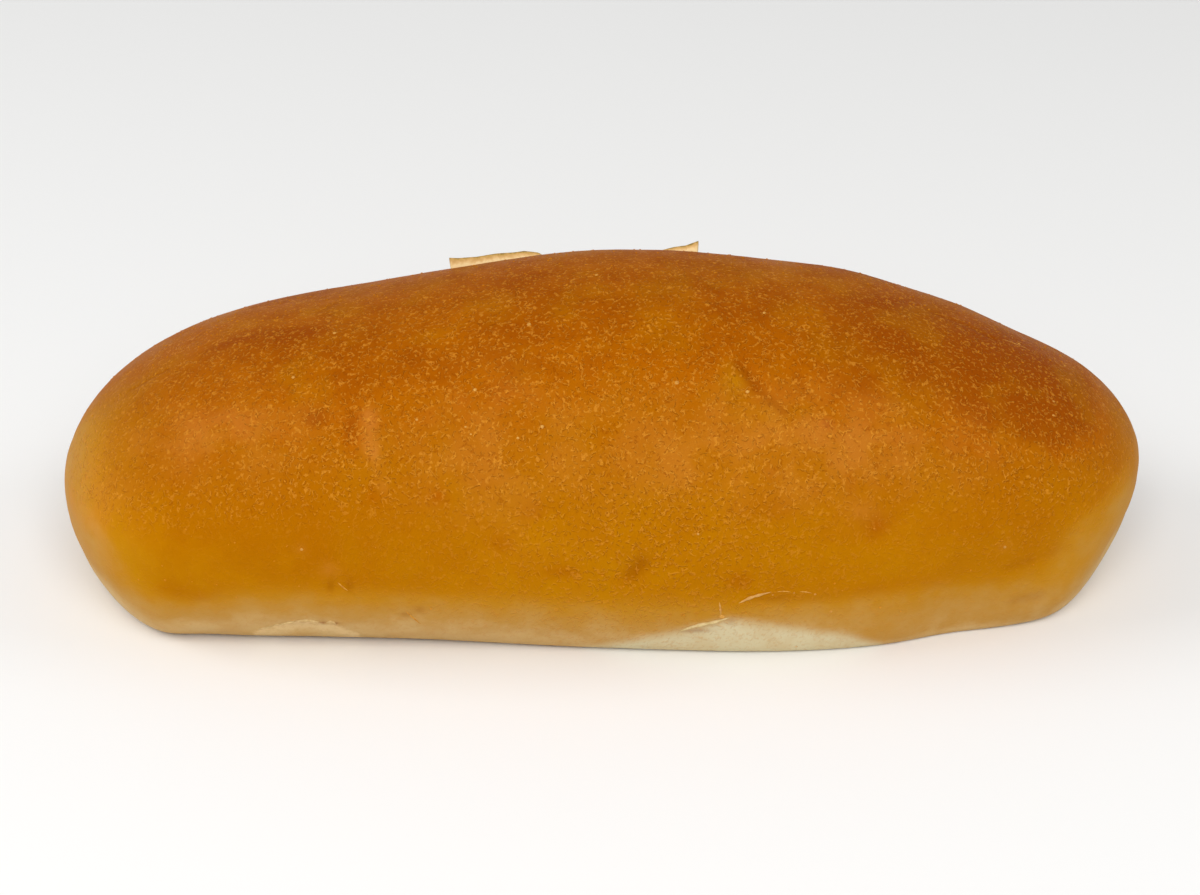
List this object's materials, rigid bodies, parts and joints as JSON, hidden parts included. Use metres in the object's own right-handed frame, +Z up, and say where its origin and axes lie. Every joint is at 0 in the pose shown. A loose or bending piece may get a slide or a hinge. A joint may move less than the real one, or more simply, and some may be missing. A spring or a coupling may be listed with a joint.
{
  "type": "potato salad roll",
  "caption": "Closed oblong bread roll with a browned satin crust and a flat foot that it rests on.",
  "frame": {"origin": "under the middle of the roll, on the surface it lies on", "axes": "+X along the roll to its right end as seen from the front, -Y to the front, +Z up"},
  "size_m": [0.17, 0.069, 0.0497],
  "materials": {
    "crust": "soft browned bread crust, satin, paler and matt towards the foot"
  },
  "bodies": {
    "root": {"roll": "crust"}
  },
  "joints": []
}
